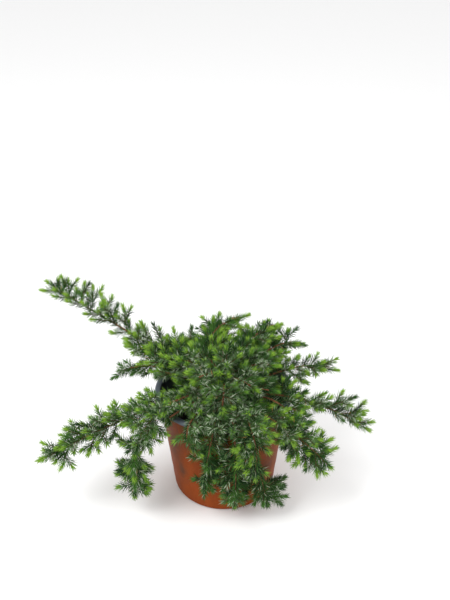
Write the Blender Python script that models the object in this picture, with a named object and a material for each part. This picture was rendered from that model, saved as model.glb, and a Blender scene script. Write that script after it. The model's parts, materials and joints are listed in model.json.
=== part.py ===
"""A potted shore juniper: a low, spreading conifer in a round plastic nursery pot.

The origin is the centre of the pot's flat underside, +Z is up and -Y faces the viewer. Each limb of the
plant is an arch from the short trunk over the pot's lip. Its inner part is a bare bough, and the rest is a
mass of foliage: a stem with shoots on it, where whorls of three awl-shaped needles stand out of a slim core.
"""

import math
import random
from collections import namedtuple

import bmesh
import bpy
from mathutils import Matrix, Vector
from mathutils.bvhtree import BVHTree

MM = 0.001
GAP = 0.3 * MM

# The pot
POT_HEIGHT = 142 * MM
POT_SIDES = 32
WALL_BASE_RADIUS = 63.5 * MM
WALL_TOP_RADIUS = 79 * MM
WALL = 2 * MM
BASE = 2.6 * MM
CORNER_HEIGHT = 10 * MM
FOOT_RADIUS = 57 * MM
LIP_RADIUS = 84.5 * MM
LIP_DEPTH = 5 * MM
CORNER_ROUNDING = 1.6 * MM
DRAIN_COUNT = 6
DRAIN_SIDES = 8
DRAIN_RADIUS = 4.5 * MM
DRAIN_CIRCLE = 42 * MM

# The potting mix and the trunk that stands on it
SOIL_LEVEL = 124 * MM
SOIL_DISH = 3 * MM
DISH_WIDTH = 12 * MM
TRUNK_SIDES = 16
TRUNK_PROFILE = ((0, 12.5), (3, 10.5), (8, 9.4), (24, 8.0), (40, 6.4), (45, 5.0))  # height and radius, mm
TIER_HEIGHTS = (134, 141, 148, 155, 162)  # where limbs leave the trunk, mm over the floor

# Limbs and foliage
BOUGH_SIDES = 5
BOUGH_STEP = 12 * MM
BOUGH_RADIUS = 1.8 * MM
TIP_RADIUS = 0.8 * MM
PATH_STEPS = 64
STEM_STEP = 18 * MM
TIP_SHOOT = 34 * MM
SHOOT_SPACING = 20 * MM
CROWN_SPACING = 14 * MM
SHOOT_LENGTH = 36 * MM
YOUNG_SHARE = 0.55  # how long a shoot at a limb's tip is against a grown one
GROWN_DISTANCE = 90 * MM  # along which the shoots reach their full length
SHOOT_ANGLE = 52
SHOOT_ROLLS = ((80, 1.0), (-80, 1.0), (15, 0.8))  # degrees from straight up, share of the length, by turns
SHOOT_TRIES = 9
CORE_SHARE = 0.78  # of a shoot's length, with whorls on it, before its pointed end
WHORL_SPACING = 8 * MM
CORE_RADIUS = 1.8 * MM
NEEDLE_LENGTH = 11.5 * MM
NEEDLE_FOOT = 0.3  # of the way from its whorl to the next
NEEDLE_ANGLES = (58, 26)  # from the shoot's axis, at its foot and at its tip
FLOOR_CLEARANCE = 2 * MM
CLEARANCE = 0.4 * MM  # a shoot is tried this much fatter than it is made, to stay clear of its neighbours
SEED = 11

# Where each limb arches and where its last shoot ends: the distance from the pot's axis in mm, the azimuth
# in degrees (0 is to the right, 90 away from the viewer) and the height over the floor in mm. Then its tier,
# counted up the trunk, and its bough's length in mm, which on a hanging limb goes as far as the pot's lip.
Limb = namedtuple("Limb", "crest tip tier bough")
LIMBS = {
    "back_left_long": Limb((148, 157, 199), (262, 152, 224), 2, 34),
    "left_upper": Limb((70, 170, 176), (127, 165, 186), 3, 34),
    "left_low": Limb((86, 168, 162), (142, 171, 140), 0, 34),
    "left_long": Limb((120, 205, 138), (233, 199, 90), 3, 34),
    "left_rim": Limb((66, 188, 170), (90, 181, 168), 1, 34),
    "left_hanging": Limb((112, 221, 148), (131, 214, 30), 1, 84),
    "front_left_rim": Limb((80, 232, 156), (98, 224, 142), 2, 34),
    "front_left": Limb((92, 245, 152), (92, 248, 112), 0, 34),
    "front_drop": Limb((96, 262, 144), (78, 252, 40), 1, 74),
    "front_cascade": Limb((98, 277, 144), (80, 279, 20), 0, 74),
    "front_floor": Limb((90, 287, 140), (91, 306, 17), 1, 74),
    "front_right": Limb((100, 288, 152), (110, 289, 85), 2, 34),
    "right_low": Limb((106, 312, 141), (150, 328, 82), 0, 34),
    "right_hanging": Limb((92, 325, 146), (102, 319, 85), 1, 34),
    "right_long": Limb((98, 341, 148), (181, 346, 110), 0, 34),
    "right_back": Limb((92, 12, 160), (145, 10, 150), 0, 34),
    "right_upper": Limb((68, 30, 178), (114, 27, 172), 1, 34),
    "back_right": Limb((58, 50, 188), (105, 45, 188), 2, 34),
    "back_right_hanging": Limb((88, 66, 158), (120, 64, 85), 0, 34),
    "back_hanging": Limb((92, 94, 160), (130, 94, 80), 1, 34),
    "back_arch": Limb((46, 110, 189), (80, 66, 203), 2, 34),
    "back_left_hanging": Limb((88, 128, 158), (122, 126, 85), 0, 34),
}
CROWN = {  # masses that grow from the trunk itself, the first of them on its cut end
    "crown_top": Limb((12, 290, 184), (32, 276, 197), None, 0),
    "crown_left": Limb((36, 185, 181), (58, 190, 192), 4, 0),
    "crown_front": Limb((36, 234, 182), (62, 234, 184), 4, 0),
    "crown_front_right": Limb((40, 302, 176), (68, 306, 176), 4, 0),
    "crown_right": Limb((36, 350, 180), (68, 350, 182), 4, 0),
    "crown_back_right": Limb((34, 24, 182), (58, 22, 190), 4, 0),
    "crown_back": Limb((28, 92, 179), (54, 88, 188), 4, 0),
    "crown_back_left": Limb((36, 138, 179), (62, 140, 186), 4, 0),
    "crown_low_front": Limb((50, 270, 175), (90, 268, 168), 3, 0),
    "crown_low_right": Limb((46, 318, 166), (76, 330, 162), 3, 0),
    "crown_low_back_right": Limb((44, 74, 168), (76, 78, 164), 3, 0),
    "crown_low_back_left": Limb((44, 134, 168), (78, 136, 164), 3, 0),
}

COLOURS = {  # base colour, roughness
    "pot": ((0.36, 0.105, 0.045, 1), 0.55),
    "soil": ((0.02, 0.016, 0.012, 1), 0.95),
    "bark": ((0.24, 0.095, 0.045, 1), 0.8),
    "foliage": ((0.06, 0.16, 0.055, 1), 0.6),
}


def clear_scene():
    for obj in list(bpy.data.objects):
        bpy.data.objects.remove(obj)


def material(name):
    """The Principled material of that name, made once."""
    found = bpy.data.materials.get(name)
    if found:
        return found
    made = bpy.data.materials.new(name)
    made.use_nodes = True
    colour, roughness = COLOURS[name]
    shader = made.node_tree.nodes["Principled BSDF"]
    shader.inputs["Base Color"].default_value = colour
    shader.inputs["Roughness"].default_value = roughness
    shader.inputs["Metallic"].default_value = 0.0
    made.diffuse_color = colour
    return made


def add_object(name, points, faces, finish, collection=None):
    mesh = bpy.data.meshes.new(name)
    mesh.from_pydata(points, [], faces)
    mesh.update()
    mesh.materials.append(material(finish))
    obj = bpy.data.objects.new(name, mesh)
    (collection or bpy.context.scene.collection).objects.link(obj)
    return obj


def polar(radius_mm, azimuth_deg, height_mm):
    turn = math.radians(azimuth_deg)
    return Vector((radius_mm * math.cos(turn), radius_mm * math.sin(turn), height_mm)) * MM


def ring_faces(rings, sides):
    """The side faces of a tube whose rings of points follow one another, facing out."""
    faces = []
    for k in range(rings - 1):
        for j in range(sides):
            a, b = k * sides + j, k * sides + (j + 1) % sides
            faces.append((a, b, b + sides, a + sides))
    return faces


def turned(name, profile, sides, finish, height=0.0):
    """A solid of revolution, placed at a height. Its profile runs from the axis, out and up, and back."""
    points = []
    for radius, level in profile[1:-1]:
        for j in range(sides):
            turn = 2 * math.pi * j / sides
            points.append((radius * math.cos(turn), radius * math.sin(turn), level))
    faces = ring_faces(len(profile) - 2, sides)
    low, high = len(points), len(points) + 1
    points += [(0, 0, profile[0][1]), (0, 0, profile[-1][1])]
    last = low - sides
    for j in range(sides):
        k = (j + 1) % sides
        faces.append((low, k, j))
        faces.append((high, last + j, last + k))
    obj = add_object(name, points, faces, finish)
    obj.data.shade_smooth()
    obj.data.set_sharp_from_angle(angle=math.radians(35))
    obj.location.z = height
    return obj


def wall_radius(height):
    """The pot's outer radius at a height above its rounded corner."""
    share = (height - CORNER_HEIGHT) / (POT_HEIGHT - LIP_DEPTH - CORNER_HEIGHT)
    return WALL_BASE_RADIUS + (WALL_TOP_RADIUS - WALL_BASE_RADIUS) * share


def pot_profile():
    top = POT_HEIGHT
    under_lip = top - LIP_DEPTH
    return [
        (0, 0),
        (FOOT_RADIUS, 0),
        (WALL_BASE_RADIUS - CORNER_ROUNDING, CORNER_HEIGHT / 3),
        (WALL_BASE_RADIUS, CORNER_HEIGHT),
        (WALL_TOP_RADIUS, under_lip),
        (LIP_RADIUS, under_lip),
        (LIP_RADIUS, top - CORNER_ROUNDING),
        (LIP_RADIUS - CORNER_ROUNDING, top),
        (wall_radius(top) - WALL, top),
        (WALL_BASE_RADIUS - WALL, CORNER_HEIGHT),
        (FOOT_RADIUS - 0.5 * MM, BASE),
        (0, BASE),
    ]


def pot():
    """The pot, with a ring of drain holes round the flat middle of its base."""
    obj = turned("pot", pot_profile(), POT_SIDES, "pot")
    drains = bpy.data.collections.new("drains")
    bpy.context.scene.collection.children.link(drains)
    for k in range(DRAIN_COUNT):
        profile = [(0, -BASE), (DRAIN_RADIUS, -BASE), (DRAIN_RADIUS, 2 * BASE), (0, 2 * BASE)]
        drain = turned(f"drain_{k}", profile, DRAIN_SIDES, "pot")
        drain.location = polar(DRAIN_CIRCLE / MM, 360 * (k + 0.5) / DRAIN_COUNT, 0)
        bpy.context.scene.collection.objects.unlink(drain)
        drains.objects.link(drain)
    combine(obj, drains, "DIFFERENCE", "EXACT")
    return obj


def combine(obj, collection, operation, solver):
    """One Boolean with a whole collection, applied, and the collection's objects removed."""
    boolean = obj.modifiers.new(operation.lower(), "BOOLEAN")
    boolean.operation = operation
    boolean.operand_type = "COLLECTION"
    boolean.collection = collection
    boolean.solver = solver
    graph = bpy.context.evaluated_depsgraph_get()
    mesh = bpy.data.meshes.new_from_object(obj.evaluated_get(graph))
    obj.modifiers.clear()
    obj.data = mesh
    for part in list(collection.objects):
        bpy.data.objects.remove(part)
    bpy.data.collections.remove(collection)


def soil():
    """The potting mix, a filling that keeps clear of the pot and is a little dished at its rim."""
    floor = BASE + GAP
    edge = SOIL_LEVEL - SOIL_DISH
    clear = WALL + 2 * GAP
    profile = [
        (0, 0),
        (FOOT_RADIUS - 1.5 * MM, 0),
        (WALL_BASE_RADIUS - clear, CORNER_HEIGHT + GAP - floor),
        (wall_radius(edge) - clear, edge - floor),
        (wall_radius(edge) - DISH_WIDTH, SOIL_LEVEL - floor),
        (0, SOIL_LEVEL - floor),
    ]
    return turned("potting_mix", profile, POT_SIDES, "soil", floor)


def trunk_radius(height):
    """The trunk's radius at a height over the floor."""
    over = (height - SOIL_LEVEL) / MM
    for (low, wide), (high, narrow) in zip(TRUNK_PROFILE, TRUNK_PROFILE[1:]):
        if over <= high:
            return (wide + (narrow - wide) * max(0.0, over - low) / (high - low)) * MM
    return TRUNK_PROFILE[-1][1] * MM


def trunk():
    """The short trunk inside the foliage, with its root flare, from a flat cut on the soil to its fork."""
    rings = [(radius * MM, level * MM) for level, radius in TRUNK_PROFILE]
    profile = [(0, rings[0][1])] + rings + [(0, rings[-1][1])]
    return turned("trunk", profile, TRUNK_SIDES, "bark", SOIL_LEVEL + GAP)


def limb_path(limb):
    """The limb's middle line from the trunk to its furthest tip: one arch through its crest."""
    crest, tip = polar(*limb.crest), polar(*limb.tip)
    if limb.tier is None:
        start = Vector((0, 0, SOIL_LEVEL + TRUNK_PROFILE[-1][0] * MM + 2 * GAP))
    else:
        height = TIER_HEIGHTS[limb.tier]
        start = polar((trunk_radius(height * MM - BOUGH_RADIUS) + GAP) / MM, limb.crest[1], height)
    pull = 2 * crest - (start + tip) / 2
    points = []
    for k in range(PATH_STEPS + 1):
        t = k / PATH_STEPS
        points.append((1 - t) ** 2 * start + 2 * t * (1 - t) * pull + t * t * tip)
    return points


class Path:
    """A line of points that can be read by its length."""

    def __init__(self, points):
        self.points = points
        self.marks = [0.0]
        for a, b in zip(points, points[1:]):
            self.marks.append(self.marks[-1] + (b - a).length)
        self.length = self.marks[-1]

    def at(self, distance):
        """(point, direction) at a distance along the line."""
        distance = min(max(distance, 0.0), self.length)
        k = 1
        while k < len(self.marks) - 1 and self.marks[k] < distance:
            k += 1
        a, b = self.points[k - 1], self.points[k]
        share = (distance - self.marks[k - 1]) / (self.marks[k] - self.marks[k - 1])
        return a.lerp(b, share), (b - a).normalized()


def tube(path, start, end, radius_at, sides, step, first_normal=None):
    """(points, faces) of a closed tapering tube along part of a path."""
    count = max(2, round((end - start) / step) + 1)
    points = []
    across = path.at(start)[1].orthogonal()
    for k in range(count):
        distance = start + (end - start) * k / (count - 1)
        centre, direction = path.at(distance)
        if k == 0 and first_normal:
            direction = first_normal
        across = (across - direction * across.dot(direction)).normalized()
        other = direction.cross(across)
        for j in range(sides):
            turn = 2 * math.pi * j / sides
            points.append(centre + (across * math.cos(turn) + other * math.sin(turn)) * radius_at(distance))
    last = (count - 1) * sides
    caps = [tuple(reversed(range(sides))), tuple(range(last, last + sides))]
    return points, ring_faces(count, sides) + caps


def limb_radius(path):
    """The limb's radius along its length, thick at the trunk and thin at the tip."""
    return lambda distance: BOUGH_RADIUS + (TIP_RADIUS - BOUGH_RADIUS) * (distance / path.length) ** 0.8


def shoot(base, direction, length, turn, extra=0.0):
    """(points, faces) of one shoot: whorls of three needles on a slim three-sided core.

    Each ring of the core is turned by a sixth from the one before. Of the six triangles between two rings,
    three rise to a needle's point. What is extra goes on the core's radius and twice on its needles and tip.
    """
    direction = direction.normalized()
    across = direction.orthogonal().normalized()
    other = direction.cross(across)

    def spot(along, radius, angle):
        angle = math.radians(angle)
        return base + direction * along + (across * math.cos(angle) + other * math.sin(angle)) * radius

    points, faces = [], []
    whorls = max(2, round(length * CORE_SHARE / WHORL_SPACING))
    step = length * CORE_SHARE / whorls
    for k in range(whorls + 1):
        radius = CORE_RADIUS * (1 - 0.5 * (k / whorls) ** 2) + extra
        points += [spot(k * step, radius, turn + 60 * k + 120 * j) for j in range(3)]
    for k in range(whorls):
        share = k / (whorls - 1)
        lean = math.radians(NEEDLE_ANGLES[0] + (NEEDLE_ANGLES[1] - NEEDLE_ANGLES[0]) * share)
        needle = NEEDLE_LENGTH * min(1.0, length / SHOOT_LENGTH + 0.15) + 2 * extra
        for j in range(3):
            a, b = 3 * k + j, 3 * k + (j + 1) % 3
            c, d = a + 3, b + 3
            tip = len(points)
            reach = CORE_RADIUS + needle * math.sin(lean)
            along = (k + NEEDLE_FOOT) * step + needle * math.cos(lean)
            points.append(spot(along, reach, turn + 60 * k + 60 + 120 * j))
            faces += [(a, b, tip), (b, c, tip), (c, a, tip), (c, b, d)]
    end = 3 * whorls
    points.append(spot(length + 2 * extra, 0, 0))
    faces += [(end + j, end + (j + 1) % 3, len(points) - 1) for j in range(3)]
    faces.append((2, 1, 0))
    return points, faces


class Room:
    """What already takes up space, so that a new shoot can be tried against all that isn't its own mass."""

    def __init__(self):
        self.taken = []

    def add(self, owner, points, faces):
        low = [min(p[k] for p in points) for k in range(3)]
        high = [max(p[k] for p in points) for k in range(3)]
        self.taken.append((owner, low, high, BVHTree.FromPolygons(points, faces)))

    def free(self, owner, points, faces):
        low = [min(p[k] for p in points) for k in range(3)]
        high = [max(p[k] for p in points) for k in range(3)]
        if low[2] < FLOOR_CLEARANCE:
            return False
        tree = None
        for other, other_low, other_high, other_tree in self.taken:
            apart = any(low[k] > other_high[k] or high[k] < other_low[k] for k in range(3))
            if other == owner or apart:
                continue
            tree = tree or BVHTree.FromPolygons(points, faces)
            if tree.overlap(other_tree):
                return False
        return True

    def add_object(self, obj):
        points = [obj.location + v.co for v in obj.data.vertices]
        self.add(obj.name, points, [tuple(p.vertices) for p in obj.data.polygons])


def root_direction(limb):
    """Straight out from the trunk, or up from its cut end, so that the limb's foot lies flat against it."""
    return Vector((0, 0, 1)) if limb.tier is None else polar(1, limb.crest[1], 0).normalized()


def bough(name, limb, path, room):
    """The bare inner part of a limb."""
    foot = root_direction(limb)
    points, faces = tube(path, 0, limb.bough * MM, limb_radius(path), BOUGH_SIDES, BOUGH_STEP, foot)
    add_object(f"bough_{name}", points, faces, "bark").data.shade_smooth()
    room.add(f"bough_{name}", points, faces)


def aimed(point, direction, angle, roll):
    """A direction that leaves a stem by an angle, rolled about it from straight up."""
    up = Vector((0, 0, 1)) if abs(direction.z) < 0.95 else Vector((direction.x, direction.y, 0)).normalized()
    up = (up - direction * up.dot(direction)).normalized()
    side = Matrix.Rotation(math.radians(roll), 3, direction) @ up
    return direction * math.cos(math.radians(angle)) + side * math.sin(math.radians(angle))


def try_shoot(name, path, distance, index, dice, room):
    """A shoot at this distance along a stem, aimed by turns to its sides and up. It is rolled and cut shorter
    until it fits the room that its mass has, and left out if it never does."""
    point, direction = path.at(distance)
    to_tip = path.length - distance
    roll, share = SHOOT_ROLLS[index % len(SHOOT_ROLLS)]
    full = SHOOT_LENGTH * share * min(1.0, YOUNG_SHARE + to_tip / GROWN_DISTANCE) * dice.uniform(0.85, 1.15)
    roll += dice.uniform(-25, 25)
    angle = SHOOT_ANGLE + dice.uniform(-8, 8)
    turn = dice.uniform(0, 120)
    for attempt in range(SHOOT_TRIES):
        turned_by = roll + (attempt % 3) * dice.uniform(30, 60) * (-1) ** attempt
        length = full * (1 - 0.15 * (attempt // 3))
        aim = aimed(point, direction, angle, turned_by)
        if room.free(name, *shoot(point, aim, length, turn, CLEARANCE)):
            made = shoot(point, aim, length, turn)
            room.add(name, *made)
            return made
    return None


def foliage(limbs, paths, room):
    """All the masses. Their shoots are dealt out in turn, from the tips inwards, so that each gets some."""
    made = {}
    dice = {name: random.Random(f"{SEED} {name}") for name in limbs}
    for name, limb in limbs.items():
        path = paths[name]
        start = limb.bough * MM + GAP if limb.bough else 0
        foot = None if limb.bough else root_direction(limb)
        made[name] = [tube(path, start, path.length - TIP_SHOOT * 0.6, limb_radius(path), 3, STEM_STEP, foot)]
        room.add(name, *made[name][0])
    for name in limbs:
        point = paths[name].at(paths[name].length - TIP_SHOOT)[0]
        aim = paths[name].points[-1] - point
        made[name].append(shoot(point, aim, aim.length, dice[name].uniform(0, 120)))
        room.add(name, *made[name][1])
    longest = max(path.length for path in paths.values())
    for index in range(int(longest / CROWN_SPACING)):
        for name, limb in limbs.items():
            spacing = SHOOT_SPACING if limb.bough else CROWN_SPACING
            distance = paths[name].length - TIP_SHOOT * 0.8 - index * spacing
            if distance < limb.bough * MM + 4 * MM:
                continue
            grown = try_shoot(name, paths[name], distance, index, dice[name], room)
            if grown:
                made[name].append(grown)
    return made


def shells(mesh):
    """The separate closed shells of a mesh, each as (signed volume, faces)."""
    found, seen = [], set()
    for seed in mesh.faces:
        if seed in seen:
            continue
        seen.add(seed)
        group, volume = [seed], 0.0
        for face in group:
            corners = [loop.vert.co for loop in face.loops]
            for b, c in zip(corners[1:], corners[2:]):
                volume += corners[0].dot(b.cross(c)) / 6
            for edge in face.edges:
                for beside in edge.link_faces:
                    if beside not in seen:
                        seen.add(beside)
                        group.append(beside)
        found.append((volume, group))
    return found


def keep_main_shell(obj):
    """Fills sealed hollows and drops loose scraps: only the shell with the most volume stays."""
    mesh = bmesh.new()
    mesh.from_mesh(obj.data)
    ordered = sorted(shells(mesh), key=lambda shell: shell[0])
    for volume, group in ordered[:-1]:
        bmesh.ops.delete(mesh, geom=group, context="FACES")
    mesh.to_mesh(obj.data)
    mesh.free()


def join_mass(name, pieces):
    """One closed solid from a mass's stem and shoots."""
    stem = add_object(f"foliage_{name}", *pieces[0], "foliage")
    shoots = bpy.data.collections.new(f"shoots_{name}")
    bpy.context.scene.collection.children.link(shoots)
    for k, (points, faces) in enumerate(pieces[1:]):
        add_object(f"shoot_{k}", points, faces, "foliage", shoots)
    combine(stem, shoots, "UNION", "MANIFOLD")
    keep_main_shell(stem)


def main():
    clear_scene()
    room = Room()
    for made in (pot(), soil(), trunk()):
        room.add_object(made)
    limbs = LIMBS | CROWN
    paths = {name: Path(limb_path(limb)) for name, limb in limbs.items()}
    for name, limb in LIMBS.items():
        bough(name, limb, paths[name], room)
    for name, pieces in foliage(limbs, paths, room).items():
        join_mass(name, pieces)


main()
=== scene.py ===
"""The looks of the potted shore juniper: bark, needles, potting mix and the two-coloured nursery pot.

Each limb is an arch from the trunk through a crest to a tip, as in the part's source. Its stem carries shoots
to its sides and on top, the longer shoots carry finer ones, and whorls of three needles stand all along them.
"""

import json
import math
import random

import bpy
import numpy as np
from mathutils import Matrix, Vector, noise

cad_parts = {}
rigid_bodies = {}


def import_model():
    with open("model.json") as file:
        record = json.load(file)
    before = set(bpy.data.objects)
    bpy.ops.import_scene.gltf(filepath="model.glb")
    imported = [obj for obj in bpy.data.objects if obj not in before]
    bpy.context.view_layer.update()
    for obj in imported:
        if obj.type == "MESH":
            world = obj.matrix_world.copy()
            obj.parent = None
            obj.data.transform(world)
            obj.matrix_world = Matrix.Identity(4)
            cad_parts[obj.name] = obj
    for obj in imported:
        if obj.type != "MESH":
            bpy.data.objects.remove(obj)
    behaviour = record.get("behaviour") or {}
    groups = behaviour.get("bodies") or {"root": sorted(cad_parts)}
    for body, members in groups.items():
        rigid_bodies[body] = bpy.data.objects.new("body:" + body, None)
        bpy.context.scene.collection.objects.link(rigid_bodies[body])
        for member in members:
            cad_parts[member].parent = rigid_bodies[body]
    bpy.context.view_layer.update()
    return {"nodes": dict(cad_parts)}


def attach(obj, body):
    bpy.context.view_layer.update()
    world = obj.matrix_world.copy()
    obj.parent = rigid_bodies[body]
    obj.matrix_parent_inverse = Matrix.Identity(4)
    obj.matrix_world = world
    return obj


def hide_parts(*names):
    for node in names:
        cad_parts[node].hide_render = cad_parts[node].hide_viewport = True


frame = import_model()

MM = 0.001
UP = Vector((0, 0, 1))
SEED = 11

# The camera, fitted to the pot's lip, wall and base in the photo's frame of 450 by 600
CAMERA_PLACE = (0.00123, -0.89664, 0.77721)
CAMERA_PITCH = 29.676
CAMERA_LENS = 53.58
SENSOR_WIDTH = 36
CLIP_START = 0.01

# The floor and the light
FLOOR_REACH = 40.0
FLOOR_COLOUR = (0.92, 0.92, 0.92)
SKY_STRENGTH = 0.95
LIGHT_AIM = Vector((0, 0, 0.12))
LIGHTS = (  # name, place, size in m and power in W
    ("key", (-0.9, -0.9, 1.7), 0.9, 26),
    ("fill", (1.3, -0.7, 1.2), 1.2, 9),
)

# The pot
POT_HEIGHT = 142 * MM
POT_SEGMENTS = 144
LIP_DEPTH = 5 * MM
LIP_RADIUS = 84.5 * MM
LIP_FILLET = 1.2 * MM
SLATE_FROM = 2  # the point of the lip's outline from which the inner layer shows
WALL = 1.6 * MM
WALL_BASE_RADIUS = 63.5 * MM
WALL_TOP_RADIUS = 79 * MM
WALL_RINGS = 24
WALL_RIPPLE = 0.12 * MM
INSIDE_RINGS = 12
INSIDE_FROM = 3 * MM  # below the rim
CORNER_HEIGHT = 10 * MM
CORNER_RINGS = 6
GROOVE_AFTER = 4
GROOVE = ((-0.1, 5.5), (-0.2, 6.0), (0.25, 6.5))  # a fine line round the corner: out from it and up, mm
FOOT_RADIUS = 57 * MM
BASE = 2.6 * MM
OVAL = 0.0022  # of the radius, at the rim
LOBES = 0.0012
RIM_WAVE = 0.5 * MM
RIM_LIMIT = 0.6 * MM
SMOOTH_UP_TO = 40
POT_MARKS = (  # azimuth in degrees, height on the wall, and the mark's own width and height in mm
    (214, 88, 20, 40),
    (222, 50, 14, 26),
    (248, 104, 14, 12),
    (322, 62, 18, 30),
    (40, 70, 16, 34),
    (120, 95, 14, 30),
)
DRAIN_COUNT = 6
DRAIN_RADIUS = 4.5 * MM
DRAIN_CIRCLE = 42 * MM
DRAIN_CUT = (-3 * MM, 6 * MM)
DRAIN_SEGMENTS = 24

# The potting mix
SOIL_LEVEL = 124 * MM
SOIL_RADIUS = 74.2 * MM
SOIL_RINGS = 46
SOIL_SEGMENTS = 160
SOIL_SAG = 0.6 * MM
SOIL_RELIEF = 1.76 * MM
SOIL_LUMPS = ((70, 0.5), (260, 0.3), (700, 0.15))  # scale and share of the lumps, from coarse to fine
SINK_FROM = 60 * MM
SINK_WIDTH = 14 * MM
SINK_DEPTH = 3 * MM
CHIP_COUNT = 420
CHIP_MARGIN = 3 * MM
CHIP_FREE_SHARE = 0.03  # of the surface, round the trunk
CHIP_SIZES = ((1.2, 4.2), (0.8, 2.4), (0.4, 1.0))  # half the length, width and height, in mm
CHIP_TURN = 6.28
CHIP_LEAN = 0.5
CHIP_SIDES = (5, 6, 7)
CHIP_EDGE = (0.7, 1.1)
CHIP_TOP_SHARE = 0.8
CHIP_LIFT = 0.3

# The trunk and the limbs
TRUNK_PROFILE = ((0, 12.5), (3, 10.5), (8, 9.4), (24, 8.0), (40, 6.4), (45, 5.0))  # height and radius, mm
TRUNK_SEGMENTS = 48
TRUNK_STEP = 1.2
TRUNK_SUNK = 2.0
TRUNK_CAP = 0.8
TRUNK_CLEAR_TO = 172 * MM
TRUNK_BARK = ((3.2, 55, 0.10), (9, 120, 0.05))  # plates and ridges: scale round and up the trunk, and depth
FLARE_HEIGHT = 10 * MM
FLARE_RIBS = 0.10
TIER_HEIGHTS = (134, 141, 148, 155, 162)
PATH_STEPS = 64
BOUGH_RADIUS = 1.8 * MM
BOUGH_SEGMENTS = 10
BOUGH_STEP = 2.2 * MM
TIP_RADIUS = 0.8 * MM
LIMB_TAPER = 0.6
ROOT_DEPTH = 3 * MM
ROOT_SWELL = 0.25
ROOT_FADE = 6 * MM
BARK_STOPS_AT = 0.4  # of the tip shoot's length, back from the limb's tip
LIMB_RELIEF = 0.22
LIMB_BARK_SCALE = 420
LIMB_BARK_SHIFT = 0.37

# Crest and tip as (distance from the pot's axis in mm, azimuth in degrees, height in mm), the tier on the
# trunk or None for its top, and how much fresh growth the shoots end in
LIMBS = {
    "back_left_long": ((148, 157, 199), (262, 152, 224), 2, 0.9),
    "left_upper": ((70, 170, 176), (127, 165, 186), 3, 1.0),
    "left_low": ((86, 168, 162), (142, 171, 140), 0, 0.05),
    "left_long": ((120, 205, 138), (233, 199, 90), 3, 0.9),
    "left_rim": ((66, 188, 170), (90, 181, 168), 1, 0.6),
    "left_hanging": ((112, 221, 148), (131, 214, 30), 1, 0.6),
    "front_left_rim": ((80, 232, 156), (98, 224, 142), 2, 0.5),
    "front_left": ((92, 245, 152), (92, 248, 112), 0, 0.4),
    "front_drop": ((96, 262, 144), (78, 252, 40), 1, 0.1),
    "front_cascade": ((98, 277, 144), (80, 279, 20), 0, 0.3),
    "front_floor": ((90, 287, 140), (91, 306, 17), 1, 0.05),
    "front_right": ((100, 288, 152), (110, 289, 85), 2, 0.8),
    "right_low": ((106, 312, 141), (150, 328, 82), 0, 0.9),
    "right_hanging": ((92, 325, 146), (102, 319, 85), 1, 0.5),
    "right_long": ((98, 341, 148), (181, 346, 110), 0, 0.9),
    "right_back": ((92, 12, 160), (145, 10, 150), 0, 0.9),
    "right_upper": ((68, 30, 178), (114, 27, 172), 1, 0.7),
    "back_right": ((58, 50, 188), (105, 45, 188), 2, 1.0),
    "back_right_hanging": ((88, 66, 158), (120, 64, 85), 0, 0.6),
    "back_hanging": ((92, 94, 160), (130, 94, 80), 1, 0.6),
    "back_arch": ((46, 110, 189), (80, 66, 203), 2, 0.9),
    "back_left_hanging": ((88, 128, 158), (122, 126, 85), 0, 0.6),
    "crown_top": ((12, 290, 184), (32, 276, 197), None, 0.5),
    "crown_left": ((36, 185, 181), (58, 190, 192), 4, 0.6),
    "crown_front": ((36, 234, 182), (62, 234, 184), 4, 0.95),
    "crown_front_right": ((40, 302, 176), (68, 306, 176), 4, 0.5),
    "crown_right": ((36, 350, 180), (68, 350, 182), 4, 0.5),
    "crown_back_right": ((34, 24, 182), (58, 22, 190), 4, 0.45),
    "crown_back": ((28, 92, 179), (54, 88, 188), 4, 0.3),
    "crown_back_left": ((36, 138, 179), (62, 140, 186), 4, 0.4),
    "crown_low_front": ((50, 270, 175), (90, 268, 168), 3, 0.3),
    "crown_low_right": ((46, 318, 166), (76, 330, 162), 3, 0.3),
    "crown_low_back_right": ((44, 74, 168), (76, 78, 164), 3, 0.3),
    "crown_low_back_left": ((44, 134, 168), (78, 136, 164), 3, 0.3),
}
GROUPS = {  # pieces of foliage, each of them under 200,000 triangles
    "left": ("back_left_long", "left_upper", "left_low", "left_long", "left_rim", "left_hanging"),
    "front": ("front_left_rim", "front_left", "front_drop", "front_cascade", "front_floor", "front_right"),
    "right": ("right_low", "right_hanging", "right_long", "right_back", "right_upper", "back_right"),
    "back": ("back_right_hanging", "back_hanging", "back_arch", "back_left_hanging"),
    "crown_near": ("crown_top", "crown_left", "crown_front", "crown_front_right", "crown_right"),
    "crown_far": ("crown_back_right", "crown_back", "crown_back_left"),
    "crown_low": ("crown_low_front", "crown_low_right", "crown_low_back_right", "crown_low_back_left"),
}

# Where shoots may stand
HEADROOM = 14  # mm over the limb's highest point
HEADROOMS = {  # limbs over which the plant's outline is lower
    "back_left_long": 12, "left_low": 3, "back_arch": -2, "back_right": 8,
    "back_hanging": 9, "back_left_hanging": 9, "back_right_hanging": 9,
    "crown_back": 7, "crown_back_left": 7, "crown_back_right": 9,
    "crown_low_back_left": 12, "crown_low_back_right": 12,
}
OUTREACH = 8  # mm beyond the limb's furthest point from the pot's axis
OUTREACHES = {"left_hanging": 14.4}
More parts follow.
